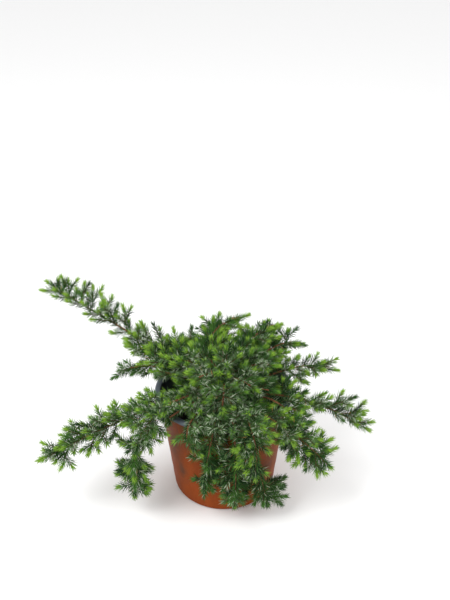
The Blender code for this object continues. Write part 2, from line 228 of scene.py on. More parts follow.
# Columns without shoots, where the mix, the pot or the sky shows: two points and a radius in mm
CLEARINGS = (
    ((-71, 29, 128), (-64, -52, 185), 9),
    ((-50, -44, 130), (-46, -116, 182), 11),
    ((59, 3, 128), (54, -76, 185), 10),
    ((11, 123, 145), (10, 40, 197), 7),
    ((46, -60, 85), (44, -92, 114), 13),
    ((50, -57, 62), (49, -95, 92), 13),
    ((53, -53, 70), (49, -124, 130), 10),
    ((-34, -62, 68), (-31, -125, 118), 12),
    ((-36, -64, 38), (-34, -112, 80), 11),
)
CROWDING = 5.6 * MM
CROWN_CROWDING = 4.6 * MM
FINE_CROWDING = 4.8 * MM
CROWD_LIMIT = 20000
CLEARANCE = 1.5 * MM  # over the floor and the mix
SHOOT_MARGIN = 1.5 * MM
NEEDLE_MARGIN = 0.3 * MM

# Shoots. Angles are in degrees, and a roll turns round the stem from its upper side
TIP_SHOOT = 34 * MM
TIP_SHOOT_LIFT = 0.02
TIP_SHOOT_SHORTER = 3 * MM
SHOOT_SPACING = 5.2 * MM
CROWN_SPACING = 3.6 * MM
FRONT_SPACING = 0.7  # share of the others
SPACING_SPREAD = (0.9, 1.1)
SHOOTS_FROM = 0.68  # of the tip shoot's length, back from the limb's tip
SHOOTS_COUNTED = 0.45
BARE_LENGTH = 34 * MM  # of a limb's foot, without needles
BARE_SHARE = 0.55
BARE_ROOT = 6 * MM
SHOOT_LENGTH = 30 * MM
SHOOT_LENGTH_SPREAD = (0.8, 1.12)
YOUNGEST_SHOOT = 9 * MM
YOUNGEST_SHOOTS = {"front_floor": 18 * MM}
SHOOT_TAPER = 0.42
SPREADS = {"front_drop": 0.78, "front_cascade": 0.85, "left_low": 0.62}  # length of shoots, as a share
SHOOT_ANGLE = (54, 6)  # and how far it varies
ROLL_SPREAD = 22
ARCHES = ("back_left_long", "right_back", "right_long")  # limbs with single shoots that stand up
ARCH_ROLLS = ((8, 1.15), (-88, 0.62), (78, 0.55), (-45, 0.5))  # roll and share of the length
FRONT_ROLLS = ((62, 1.0), (-62, 1.0), (0, 0.8), (35, 0.9), (-35, 0.9), (88, 0.85), (-88, 0.85))
SHOOT_ROLLS = ((82, 1.0), (-82, 1.0), (18, 0.8), (120, 0.85), (-120, 0.85), (-30, 0.75))
LONE_SHOOTS = {"crown_back_left": (0.9, (0.15, 0.1, 1.0), 19 * MM)}  # share of the path, aim and length
LONE_LIFT = 0.05
FINE_FROM = 21 * MM
FINE_PLACES = (0.32, 0.5)
FINE_LENGTH = (13 * MM, 18 * MM)
FINE_ANGLE = 48
FINE_ROLL = 80
FINE_ROLL_SPREAD = 30
SHOOT_TRIES = 12
TRY_TURN = (18, 40)
TRY_SHORTER = 0.055
TRY_ANGLE_SPREAD = 8
LIFTS = (0.02, 0.16)
FORWARD = 0.10
STEEP = 0.95
SAMPLES = (0.35, 0.6, 0.85, 1.05)  # shares of a shoot's length at which it is tested
TONES = {"old_deep": 0.3, "old": 0.45, "grown": 0.25}
LEAST_FRESH = 0.1
TWIG_SIDES = 5
TWIG_STEPS = 6
TWIG_ROOT = 0.8 * MM
TWIG_END = 0.97
TWIG_RADIUS = 0.62 * MM
TWIG_TIP_RADIUS = 0.3 * MM
TWIG_THICKEST = 1.2
TWIG_THINNEST = 0.5
TWIG_THICKENS_OVER = 40 * MM

# Needles
NEEDLE_POINTS = np.array([
    (0.00, 0.0, 0.0),
    (0.30, 0.5, 0.16),
    (0.30, -0.5, 0.16),
    (0.26, 0.0, -0.42),
    (1.00, 0.0, 0.0),
])  # share of the length, of the width across, and of the width up
NEEDLE_FACES = np.array([(0, 2, 1), (1, 2, 4), (0, 1, 3), (0, 3, 2), (3, 1, 4), (2, 3, 4)])
UPPER_FACES = 2
IN_WHORL = 3
WHORL_SPACING = 1.3 * MM
WHORLS_CLOSER = 0.35
WHORL_TURN = (60, 6)
FIRST_WHORL = 2.5 * MM
PAST_END = 0.5 * MM
NEEDLE_LENGTH = 11.0 * MM
NEEDLE_LENGTH_SPREAD = (0.82, 1.1)
SHORT_AT_FOOT = 0.28
SHORT_THIRDS = 3  # full length from one third of the shoot on
SHORT_AT_END = 0.30
NEEDLE_WIDTH = 1.35 * MM
NEEDLE_WIDTH_SPREAD = (0.85, 1.12)
NEEDLE_BEND = (0.02, 0.10)
NEEDLE_LEANS = (58, 26)  # from the twig, at a shoot's foot and at its end
LEANS_BY_PLACE = 0.35
LEANS_BY_CLOSING = 0.65
LEAN_SPREAD = 9
SPIN_SPREAD = 12
YOUNG_TIP = 11 * MM
YOUNG_SHARE = 0.4
STEM_FROM = 12 * MM
STEM_UP_TO = 0.8
STEM_COVER = 0.5
FRONT_STEM_COVER = 0.8
STEM_LEAN = (62, 10)
STEM_LENGTH_SPREAD = (0.7, 1.0)
STEM_BEND = 0.05
STEM_WHORL_TURN = (60, 9)
STEM_WHORLS_WIDER = 1.1

# How often needles take a colour, and up to where on a shoot, all as shares
BAND_SHARE = 0.36
STEM_BAND_SHARE = 0.3
GROWN_UP_TO = 0.25
GROWN_LESS = 0.2
TIP_FROM = 0.45
TIP_ALL_ROUND = 0.5
DEAD_SHARE = 0.012
DEAD_UP_TO = 0.4
TURNED_SHARE = 0.22

# Colours. A ramp is a row of stops, each a position and a base colour
BLACK_AND_WHITE = ((0, 0, 0), (1, 1, 1))
TERRACOTTA = ((0.3, (0.185, 0.036, 0.006)), (0.55, (0.235, 0.047, 0.008)), (0.8, (0.280, 0.060, 0.011)))
TERRACOTTA_GRAIN = ((0.3, (0.1, 0.03, 0.01)), (0.7, (0.36, 0.10, 0.03)))
SMUDGE = (0.120, 0.045, 0.022)
MARK = (0.075, 0.040, 0.024)
SLATE = ((0.3, (0.080, 0.096, 0.115)), (0.6, (0.115, 0.137, 0.160)), (0.8, (0.170, 0.190, 0.205)))
# the slate layer darkened to near-black inside the pot: painted shade
INSIDE_PAINTED_SHADE = ((0.4, (0.010, 0.010, 0.010)), (0.8, (0.035, 0.032, 0.028)))
SOIL = ((0.3, (0.006, 0.005, 0.004)), (0.6, (0.020, 0.015, 0.011)), (0.8, (0.060, 0.042, 0.028)))
CHIPS = ((0.3, (0.010, 0.007, 0.005)), (0.6, (0.036, 0.023, 0.015)), (0.8, (0.085, 0.052, 0.032)))
BARK_POSITIONS = (0.3, 0.52, 0.75)
BARK_SCARS = ((0.42, (0.35, 0.3, 0.28)), (0.55, (1, 1, 1)))
BARKS = {  # dark, middle and light, and the scale of the flakes
    "trunk_bark": ((0.050, 0.028, 0.018), (0.140, 0.072, 0.042), (0.260, 0.150, 0.095), 160),
    "limb_bark": ((0.085, 0.035, 0.015), (0.215, 0.088, 0.038), (0.360, 0.190, 0.095), 240),
    "twig_bark": ((0.050, 0.045, 0.014), (0.110, 0.080, 0.026), (0.190, 0.150, 0.050), 300),
}
NEEDLE_COLOURS = {
    "old_deep": (0.012, 0.041, 0.009),
    "old": (0.029, 0.085, 0.016),
    "grown": (0.053, 0.147, 0.022),
    "fresh": (0.118, 0.270, 0.025),
    "tip": (0.230, 0.400, 0.047),
    "band": (0.400, 0.480, 0.330),
    "band_dull": (0.100, 0.180, 0.064),
    "dead": (0.330, 0.200, 0.070),
}
COLOUR_INDEX = {name: k for k, name in enumerate(NEEDLE_COLOURS)}


def polar(radius_mm, azimuth_deg, height_mm):
    turn = math.radians(azimuth_deg)
    return Vector((radius_mm * math.cos(turn), radius_mm * math.sin(turn), height_mm)) * MM


def about(dice, value, spread):
    return value + dice.uniform(-spread, spread)


def wall_radius(height):
    share = (height - CORNER_HEIGHT) / (POT_HEIGHT - LIP_DEPTH - CORNER_HEIGHT)
    return WALL_BASE_RADIUS + (WALL_TOP_RADIUS - WALL_BASE_RADIUS) * share


def trunk_radius(height):
    over = (height - SOIL_LEVEL) / MM
    for (low, wide), (high, narrow) in zip(TRUNK_PROFILE, TRUNK_PROFILE[1:]):
        if over <= high:
            return (wide + (narrow - wide) * max(0.0, over - low) / (high - low)) * MM
    return TRUNK_PROFILE[-1][1] * MM


# Materials

MIX_SHARE, MIX_FIRST, MIX_SECOND, MIX_RESULT = 0, 6, 7, 2  # sockets of the node that mixes two colours


class Shader:
    """A Principled material and short calls for the nodes that feed it."""

    def __init__(self, name, roughness, specular):
        self.material = bpy.data.materials.new(name)
        self.material.use_nodes = True
        self.tree = self.material.node_tree
        self.principled = self.tree.nodes["Principled BSDF"].inputs
        self.feed(self.principled["Roughness"], roughness)
        self.feed(self.principled["Specular IOR Level"], specular)
        self.place = self.node("ShaderNodeTexCoord").outputs["Object"]

    def feed(self, socket, value):
        """Sets an input to a value, or links it to the output of a node."""
        if isinstance(value, bpy.types.NodeSocket):
            self.tree.links.new(value, socket)
        elif socket.type == "RGBA":
            socket.default_value = (*value, 1)
        else:
            socket.default_value = value

    def node(self, kind, inputs=(), **settings):
        made = self.tree.nodes.new(kind)
        for key, value in settings.items():
            setattr(made, key, value)
        for key, value in dict(inputs).items():
            self.feed(made.inputs[key], value)
        return made

    def scaled(self, scale):
        return self.node("ShaderNodeMapping", {"Vector": self.place, "Scale": scale}).outputs["Vector"]

    def noise(self, scale, detail, rough, place=None):
        inputs = {"Vector": place or self.place, "Scale": scale, "Detail": detail, "Roughness": rough}
        return self.node("ShaderNodeTexNoise", inputs).outputs["Fac"]

    def ramp(self, source, stops):
        made = self.node("ShaderNodeValToRGB", {"Fac": source})
        ramp = made.color_ramp
        while len(ramp.elements) < len(stops):
            ramp.elements.new(0.5)
        for element, (position, colour) in zip(ramp.elements, stops):
            element.position = position
            element.color = (*colour, 1)
        return made.outputs["Color"]

    def mask(self, source, low, high):
        return self.ramp(source, tuple(zip((low, high), BLACK_AND_WHITE)))

    def patch(self, centre, size):
        """White at a point, fading to black at the edge of an ellipsoid round it."""
        inputs = {"Vector": self.place, "Location": centre, "Scale": size}
        place = self.node("ShaderNodeMapping", inputs, vector_type="TEXTURE").outputs["Vector"]
        ball = self.node("ShaderNodeTexGradient", {"Vector": place}, gradient_type="SPHERICAL")
        return ball.outputs["Color"]

    def mix(self, share, first, second, blend="MIX"):
        inputs = {MIX_SHARE: share, MIX_FIRST: first, MIX_SECOND: second}
        return self.node("ShaderNodeMix", inputs, data_type="RGBA", blend_type=blend).outputs[MIX_RESULT]

    def colour(self, value):
        self.feed(self.principled["Base Color"], value)

    def roughness(self, source, low, high):
        made = self.node("ShaderNodeMapRange", {"Value": source, "To Min": low, "To Max": high})
        self.feed(self.principled["Roughness"], made.outputs["Result"])

    def bump(self, source, strength, distance):
        made = self.node("ShaderNodeBump", {"Height": source, "Strength": strength, "Distance": distance})
        self.feed(self.principled["Normal"], made.outputs["Normal"])


def terracotta_material():
    """Terracotta-coloured plastic, with faint upright streaks, scuffs and soil marks."""
    made = Shader("terracotta_plastic", roughness=0.6, specular=0.04)
    streaks = made.noise(1.0, detail=5, rough=0.6, place=made.scaled((55, 55, 6)))
    smudges = made.noise(1.0, detail=6, rough=0.65, place=made.scaled((26, 26, 7)))
    soiled = made.mix(made.mask(smudges, low=0.55, high=0.72), made.ramp(streaks, TERRACOTTA), SMUDGE)
    speckle = made.mask(made.noise(70, detail=5, rough=0.6), low=0.3, high=0.6)
    for azimuth, height, wide, tall in POT_MARKS:
        centre = polar(wall_radius(height * MM) / MM, azimuth, height)
        patch = made.patch(centre, (wide * MM, wide * MM, tall * MM))
        soiled = made.mix(made.mix(1.0, patch, speckle, "MULTIPLY"), soiled, MARK)
    grain = made.noise(420, detail=3, rough=0.5)
    made.colour(made.mix(0.12, soiled, made.ramp(grain, TERRACOTTA_GRAIN)))
    made.roughness(streaks, low=0.34, high=0.56)
    made.bump(grain, strength=0.12, distance=0.4 * MM)
    return made.material


def slate_material():
    """The dark inner layer of the plastic, which shows on the lip and inside."""
    made = Shader("slate_plastic", roughness=0.55, specular=0.3)
    dust = made.noise(60, detail=6, rough=0.6)
    made.colour(made.ramp(dust, SLATE))
    made.roughness(dust, low=0.4, high=0.65)
    made.bump(made.noise(500, detail=2, rough=0.5), strength=0.1, distance=0.3 * MM)
    return made.material


def inside_painted_shade_material():
    """The same layer further down, between the rim and the mix, darkened to near-black as painted shade."""
    made = Shader("pot_inside_painted_shade", roughness=0.7, specular=0.1)
    made.colour(made.ramp(made.noise(80, detail=6, rough=0.6), INSIDE_PAINTED_SHADE))
    return made.material


def soil_material():
    made = Shader("potting_mix", roughness=0.95, specular=0.2)
    grain = made.noise(260, detail=8, rough=0.7)
    made.colour(made.ramp(grain, SOIL))
    made.bump(grain, strength=0.8, distance=1.5 * MM)
    return made.material


def chip_material():
    made = Shader("bark_chips", roughness=0.9, specular=0.25)
    made.colour(made.ramp(made.noise(90, detail=6, rough=0.7), CHIPS))
    made.bump(made.noise(300, detail=4, rough=0.6), strength=0.6, distance=1.0 * MM)
    return made.material


def bark_material(name):
    """Thin bark with paler flakes and darker scars."""
    *shades, scale = BARKS[name]
    made = Shader(name, roughness=0.75, specular=0.3)
    flakes = made.noise(scale, detail=8, rough=0.7)
    base = made.ramp(flakes, tuple(zip(BARK_POSITIONS, shades)))
    scars = made.ramp(made.noise(scale * 3, detail=3, rough=0.5), BARK_SCARS)
    made.colour(made.mix(0.6, base, scars, "MULTIPLY"))
    made.roughness(flakes, low=0.65, high=0.9)
    made.bump(flakes, strength=0.7, distance=0.6 * MM)
    return made.material


def needle_materials():
    """One plain colour each, because colours that have a place are dealt out face by face."""
    made = []
    for name, colour in NEEDLE_COLOURS.items():
        shader = Shader("needle_" + name, roughness=0.55, specular=0.12)
        shader.colour(colour)
        made.append(shader.material)
    return made


# Meshes


def mesh_object(name, points, faces, materials, indices=None, smooth=False):
    mesh = bpy.data.meshes.new(name)
    mesh.from_pydata([tuple(p) for p in points], [], faces)
    for material in materials:
        mesh.materials.append(material)
    if indices is not None:
        mesh.polygons.foreach_set("material_index", indices)
    mesh.polygons.foreach_set("use_smooth", [smooth] * len(mesh.polygons))
    mesh.update()
    obj = bpy.data.objects.new(name, mesh)
    bpy.context.scene.collection.objects.link(obj)
    return obj


def settle(obj, slot_name, *nodes):
    """The piece rides on the one body and replaces CAD nodes; slot_name is not used."""
    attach(obj, "root")
    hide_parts(*nodes)


def turned_mesh(profile, segments, wobble=None):
    """Points and faces of a closed solid of revolution. wobble moves a point, given it and its angle.

    The faces come segment by segment, and in each of them in the order of the profile.
    """
    points = [Vector((0, 0, profile[0][1]))]
    for radius, height in profile[1:-1]:
        for j in range(segments):
            turn = 2 * math.pi * j / segments
            point = Vector((radius * math.cos(turn), radius * math.sin(turn), height))
            points.append(wobble(point, turn) if wobble else point)
    points.append(Vector((0, 0, profile[-1][1])))
    rings = len(profile) - 2
    last = len(points) - 1
    faces = []
    for j in range(segments):
        k = (j + 1) % segments
        faces.append((0, 1 + k, 1 + j))
        for ring in range(rings - 1):
            a, b = 1 + ring * segments + j, 1 + ring * segments + k
            faces.append((a, b, b + segments, a + segments))
        top = 1 + (rings - 1) * segments
        faces.append((last, top + j, top + k))
    return points, faces


def tube_mesh(centres, radii, sides, relief=0.0, shift=0.0):
    """Points and faces of a closed tube round a line of points, with relief like that of bark."""
    points = []
    across = (centres[1] - centres[0]).orthogonal().normalized()
    for k, (centre, radius) in enumerate(zip(centres, radii)):
        along = (centres[min(k + 1, len(centres) - 1)] - centres[max(k - 1, 0)]).normalized()
        across = (across - along * across.dot(along)).normalized()
        other = along.cross(across)
        for j in range(sides):
            turn = 2 * math.pi * j / sides
            side = across * math.cos(turn) + other * math.sin(turn)
            spot = centre + side * radius
            swell = noise.noise((spot + Vector((shift, 0, 0))) * LIMB_BARK_SCALE) if relief else 0.0
            points.append(spot + side * radius * relief * swell)
    faces = []
    for k in range(len(centres) - 1):
        for j in range(sides):
            a, b = k * sides + j, k * sides + (j + 1) % sides
            faces.append((a, b, b + sides, a + sides))
    last = (len(centres) - 1) * sides
    faces += [tuple(reversed(range(sides))), tuple(range(last, last + sides))]
    return points, faces


class Gathered:
    """Points and faces of many small meshes, joined as they come."""

    def __init__(self):
        self.points = []
        self.faces = []

    def add(self, points, faces):
        start = len(self.points)
        self.points += points
        self.faces += [tuple(start + k for k in face) for face in faces]


# The pot


def pot_outline():
    """Radius and height along the outside from the base up, along the lip, and down the inside."""
    top = POT_HEIGHT
    under_lip = top - LIP_DEPTH
    outside = [(0, 0.6 * MM), (DRAIN_CIRCLE * 0.4, 0.2 * MM), (FOOT_RADIUS - 3 * MM, 0), (FOOT_RADIUS, 0)]
    for k in range(1, CORNER_RINGS + 1):
        turn = math.pi / 2 * k / CORNER_RINGS
        radius = FOOT_RADIUS + (WALL_BASE_RADIUS - FOOT_RADIUS) * math.sin(turn)
        outside.append((radius, CORNER_HEIGHT * (1 - math.cos(turn))))
        if k == GROOVE_AFTER:
            outside += [(radius + out * MM, height * MM) for out, height in GROOVE]
    for k in range(1, WALL_RINGS + 1):
        height = CORNER_HEIGHT + (under_lip - LIP_FILLET - CORNER_HEIGHT) * k / WALL_RINGS
        outside.append((wall_radius(height) + WALL_RIPPLE * math.sin(k * 1.3), height))
    lip = [
        (WALL_TOP_RADIUS + LIP_FILLET, under_lip),
        (LIP_RADIUS - 1.0 * MM, under_lip + 0.1 * MM),
        (LIP_RADIUS, under_lip + 0.9 * MM),
        (LIP_RADIUS, top - 1.3 * MM),
        (LIP_RADIUS - 0.5 * MM, top - 0.4 * MM),
        (LIP_RADIUS - 1.5 * MM, top),
        (WALL_TOP_RADIUS + 0.4 * MM, top - 0.2 * MM),
        (WALL_TOP_RADIUS - 0.9 * MM, top - 0.9 * MM),
        (WALL_TOP_RADIUS - 1.4 * MM, top - 2.4 * MM),
    ]
    start = top - INSIDE_FROM
    inside = []
    for k in range(1, INSIDE_RINGS + 1):
        height = start + (CORNER_HEIGHT - start) * k / INSIDE_RINGS
        inside.append((wall_radius(height) - WALL, height))
    inside += [(FOOT_RADIUS - 0.5 * MM, BASE), (0, BASE)]
    return outside, lip, inside


def out_of_round(point, turn):
    """Plastic that has gone slightly oval and wavy, more so towards the rim."""
    share = point.z / POT_HEIGHT
    swell = 1 + share * (OVAL * math.sin(2 * turn + 0.6) + LOBES * math.sin(5 * turn))
    lift = RIM_WAVE * share ** 8 * math.sin(3 * turn + 1.0)
    return Vector((point.x * swell, point.y * swell, min(point.z + lift, POT_HEIGHT + RIM_LIMIT)))


def cut_drains(obj):
    """Cuts the drain holes through the base, and leaves nothing of the cutters."""
    low, high = DRAIN_CUT
    hole = [(0, low), (DRAIN_RADIUS, low), (DRAIN_RADIUS, high), (0, high)]
    points, faces = turned_mesh(hole, DRAIN_SEGMENTS)
    cutters = bpy.data.collections.new("drain_cutters")
    for k in range(DRAIN_COUNT):
        cutter = mesh_object(f"drain_{k}", points, faces, [])
        cutter.location = polar(DRAIN_CIRCLE / MM, 360 * (k + 0.5) / DRAIN_COUNT, 0)
        bpy.context.scene.collection.objects.unlink(cutter)
        cutters.objects.link(cutter)
    bpy.context.scene.collection.children.link(cutters)
    cut = obj.modifiers.new("drains", "BOOLEAN")
    cut.operation = "DIFFERENCE"
    cut.operand_type = "COLLECTION"
    cut.collection = cutters
    cut.solver = "EXACT"
    graph = bpy.context.evaluated_depsgraph_get()
    mesh = bpy.data.meshes.new_from_object(obj.evaluated_get(graph))
    obj.modifiers.clear()
    obj.data = mesh
    for cutter in list(cutters.objects):
        bpy.data.objects.remove(cutter)
    bpy.data.collections.remove(cutters)


def pot_piece():
    """A thin-walled pot of two layers, terracotta outside and slate inside, with a turned-out lip."""
    outside, lip, inside = pot_outline()
    points, faces = turned_mesh(outside + lip + inside, POT_SEGMENTS, out_of_round)
    # the last rows, down the inside wall and over the base within, take the near-black painted shade
    rows = (len(outside) + SLATE_FROM, len(lip) - SLATE_FROM + 1, len(inside) - 2)
    indices = [layer for layer, count in enumerate(rows) for _ in range(count)] * POT_SEGMENTS
    materials = [terracotta_material(), slate_material(), inside_painted_shade_material()]
    obj = mesh_object("pot_shell", points, faces, materials, indices, smooth=True)
    cut_drains(obj)
    obj.data.shade_smooth()
    obj.data.set_sharp_from_angle(angle=math.radians(SMOOTH_UP_TO))
    settle(obj, "pot", "pot")


# The potting mix


def soil_height(x, y):
    """The mix's lumpy surface, which sinks towards the wall."""
    lumps = 0.0
    for scale, share in SOIL_LUMPS:
        lumps += noise.noise(Vector((x, y, 0)) * scale) * share
    sink = SINK_DEPTH * max(0.0, (math.hypot(x, y) - SINK_FROM) / SINK_WIDTH) ** 2
    return SOIL_LEVEL - SOIL_SAG + SOIL_RELIEF * lumps - sink


def soil_piece():
    """The mix, which fills the pot, with its sides and base closed below."""
    bottom = BASE + 0.5 * MM
    shoulder = CORNER_HEIGHT + 1 * MM
    profile = [(0, bottom), (FOOT_RADIUS - 2 * MM, bottom), (WALL_BASE_RADIUS - 3.2 * MM, shoulder)]
    profile += [(SOIL_RADIUS * (SOIL_RINGS - k) / SOIL_RINGS, SOIL_LEVEL) for k in range(SOIL_RINGS)]
    profile.append((0, soil_height(0, 0)))

    def lumpy(point, turn):
        height = soil_height(point.x, point.y) if point.z > SOIL_LEVEL - MM else point.z
        return Vector((point.x, point.y, height))

    points, faces = turned_mesh(profile, SOIL_SEGMENTS, lumpy)
    obj = mesh_object("potting_mix_surface", points, faces, [soil_material()], smooth=True)
    settle(obj, "potting_mix", "potting_mix")


def chips_piece():
    """Flat irregular chips of bark that lie on the mix."""
    dice = random.Random(SEED)
    gathered = Gathered()
    for _ in range(CHIP_COUNT):
        radius = (SOIL_RADIUS - CHIP_MARGIN) * math.sqrt(dice.uniform(CHIP_FREE_SHARE, 1))
        turn = dice.uniform(0, 2 * math.pi)
        x, y = radius * math.cos(turn), radius * math.sin(turn)
        size = Vector([dice.uniform(*span) for span in CHIP_SIZES]) * MM
        centre = Vector((x, y, soil_height(x, y) + size.z * CHIP_LIFT))
        tilt = Matrix.Rotation(dice.uniform(0, CHIP_TURN), 3, "Z")
        tilt = tilt @ Matrix.Rotation(dice.uniform(-CHIP_LEAN, CHIP_LEAN), 3, "X")
        sides = dice.choice(CHIP_SIDES)
        points, faces = [], []
        for level, share in ((-1, 1), (1, CHIP_TOP_SHARE)):
            for j in range(sides):
                angle = 2 * math.pi * j / sides
                reach = dice.uniform(*CHIP_EDGE) * share
                across, along = size.y * math.sin(angle) * reach, size.x * math.cos(angle) * reach
                points.append(tilt @ Vector((along, across, size.z * level)) + centre)
        for j in range(sides):
            k = (j + 1) % sides
            faces.append((j, k, k + sides, j + sides))
        faces += [tuple(reversed(range(sides))), tuple(range(sides, 2 * sides))]
        gathered.add(points, faces)
    obj = mesh_object("bark_chips", gathered.points, gathered.faces, [chip_material()])
    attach(obj, "root")


# Trunk and limbs


def trunk_piece():
    """The short trunk with its root flare and long plates of bark."""
    foot, top = TRUNK_PROFILE[0][0], TRUNK_PROFILE[-1][0]
    levels = []
    level = foot - TRUNK_SUNK
    while level < top:
        levels.append(level)
        level += TRUNK_STEP
    levels.append(top)
    profile = [(0, SOIL_LEVEL + levels[0] * MM)]
    profile += [(trunk_radius(SOIL_LEVEL + level * MM), SOIL_LEVEL + level * MM) for level in levels]
    profile.append((0, SOIL_LEVEL + (top + TRUNK_CAP) * MM))

    def barked(point, turn):
        swell = 1.0
        for scale, up_scale, depth in TRUNK_BARK:
            spot = Vector((math.cos(turn) * scale, math.sin(turn) * scale, point.z * up_scale))
            swell += depth * noise.noise(spot)
        flare = max(0.0, 1 - (point.z - SOIL_LEVEL) / FLARE_HEIGHT)
        swell += FLARE_RIBS * flare * math.sin(5 * turn + 0.7)
        return Vector((point.x * swell, point.y * swell, point.z))

    points, faces = turned_mesh(profile, TRUNK_SEGMENTS, barked)
    obj = mesh_object("trunk_bark", points, faces, [bark_material("trunk_bark")], smooth=True)
    settle(obj, "bark", "trunk")


class Path:
    """A line of points that can be read by its length."""

    def __init__(self, points):
        self.points = points
        self.marks = [0.0]
        for a, b in zip(points, points[1:]):
            self.marks.append(self.marks[-1] + (b - a).length)
        self.length = self.marks[-1]

    def at(self, distance):
        """The point at a distance from the foot, and the direction there."""
        distance = min(max(distance, 0.0), self.length)
        k = 1
        while k < len(self.marks) - 1 and self.marks[k] < distance:
            k += 1
        a, b = self.points[k - 1], self.points[k]
        share = (distance - self.marks[k - 1]) / (self.marks[k] - self.marks[k - 1])
        return a.lerp(b, share), (b - a).normalized()


def limb_path(crest_polar, tip_polar, tier):
    """A quadratic arch from the trunk that has the crest at its middle and ends at the tip."""
    crest, tip = polar(*crest_polar), polar(*tip_polar)
    if tier is None:
        start = Vector((0, 0, SOIL_LEVEL + TRUNK_PROFILE[-1][0] * MM))
    else:
        height = TIER_HEIGHTS[tier]
        start = polar(trunk_radius(height * MM - BOUGH_RADIUS) / MM, crest_polar[1], height)
    pull = 2 * crest - (start + tip) / 2
    points = []
    for k in range(PATH_STEPS + 1):
        t = k / PATH_STEPS
        points.append((1 - t) ** 2 * start + 2 * t * (1 - t) * pull + t * t * tip)
    return Path(points)


PATHS = {name: limb_path(*limb[:3]) for name, limb in LIMBS.items()}


def limb_radius(path, distance):
    """Tapers to the tip, and swells where the limb leaves the trunk."""
    plain = BOUGH_RADIUS + (TIP_RADIUS - BOUGH_RADIUS) * (distance / path.length) ** LIMB_TAPER
    return plain * (1 + ROOT_SWELL * math.exp(-distance / ROOT_FADE))


def limbs_piece():
    """All the boughs and the stems that they go on as, sunk into the trunk at their feet."""
    gathered = Gathered()
    for number, path in enumerate(PATHS.values()):
        end = path.length - TIP_SHOOT * BARK_STOPS_AT
        count = int(end / BOUGH_STEP)
        distances = [end * k / count for k in range(count + 1)]
        foot, out = path.at(0)
        centres = [foot - out * ROOT_DEPTH] + [path.at(distance)[0] for distance in distances]
        radii = [limb_radius(path, distance) for distance in [0.0] + distances]
        gathered.add(*tube_mesh(centres, radii, BOUGH_SEGMENTS, LIMB_RELIEF, number * LIMB_BARK_SHIFT))
    material = bark_material("limb_bark")
    obj = mesh_object("limbs_bark", gathered.points, gathered.faces, [material], smooth=True)
    boughs = [node for node in frame["nodes"] if node.startswith("bough_")]
    settle(obj, "bark", *boughs)


# Shoots


def aimed(direction, angle, roll):
    """A direction that leaves another at an angle, rolled round it from its upper side."""
    up = UP if abs(direction.z) < STEEP else Vector((direction.x, direction.y, 0)).normalized()
    up = (up - direction * up.dot(direction)).normalized()
    side = Matrix.Rotation(math.radians(roll), 3, direction) @ up
    return direction * math.cos(math.radians(angle)) + side * math.sin(math.radians(angle))


def blocked(point, margin):
    """Whether a point lies within a margin of the pot, the mix, the trunk or the floor."""
    radius = math.hypot(point.x, point.y)
    if point.z < CLEARANCE + margin:
        return True
    if point.z < SOIL_LEVEL + CLEARANCE + margin and radius < WALL_TOP_RADIUS:
        return True
    if point.z < POT_HEIGHT + margin:
        lip = point.z > POT_HEIGHT - LIP_DEPTH - margin
        outer = LIP_RADIUS if lip else wall_radius(point.z)
        inner = wall_radius(min(point.z, POT_HEIGHT)) - WALL
        if inner - margin < radius < outer + margin:
            return True
        if point.z < SOIL_LEVEL and radius <= inner:
            return True
    return point.z < TRUNK_CLEAR_TO and radius < trunk_radius(point.z) + margin


def in_clearing(point):
    """Whether a point lies in one of the columns that stay free of shoots."""
    for low, high, radius in CLEARINGS:
        foot, top = Vector(low) * MM, Vector(high) * MM
        share = min(max((point - foot).dot(top - foot) / (top - foot).length_squared, 0), 1)
        if (point - foot.lerp(top, share)).length < radius * MM:
            return True
    return False


def tone_of(dice):
    return dice.choices(tuple(TONES), tuple(TONES.values()))[0]


class Shoot:
    """One leafy twig: a slightly curved axis, with its age and how fresh its end is."""

    def __init__(self, base, direction, length, lift, fresh, tone):
        self.base, self.direction, self.length = base, direction.normalized(), length
        self.lift, self.fresh, self.tone = lift, fresh, tone

    def at(self, distance):
        share = distance / self.length
        return self.base + self.direction * distance + self.lift * self.length * share * share

    def along(self, distance):
        return (self.direction + self.lift * (2 * distance / self.length)).normalized()

    def samples(self):
        return [self.at(self.length * share) for share in SAMPLES]


class Crowd:
    """The points of the shoots that already stand, so that the next one finds its own space."""

    def __init__(self):
        self.points = np.zeros((CROWD_LIMIT, 3))
        self.count = 0

    def near(self, points, reach):
        taken = self.points[: self.count]
        for point in points:
            gaps = taken - np.array(point)
            if (np.einsum("ij,ij->i", gaps, gaps) < reach * reach).any():
                return True
        return False

    def add(self, points):
        for point in points:
            self.points[self.count] = point
            self.count += 1


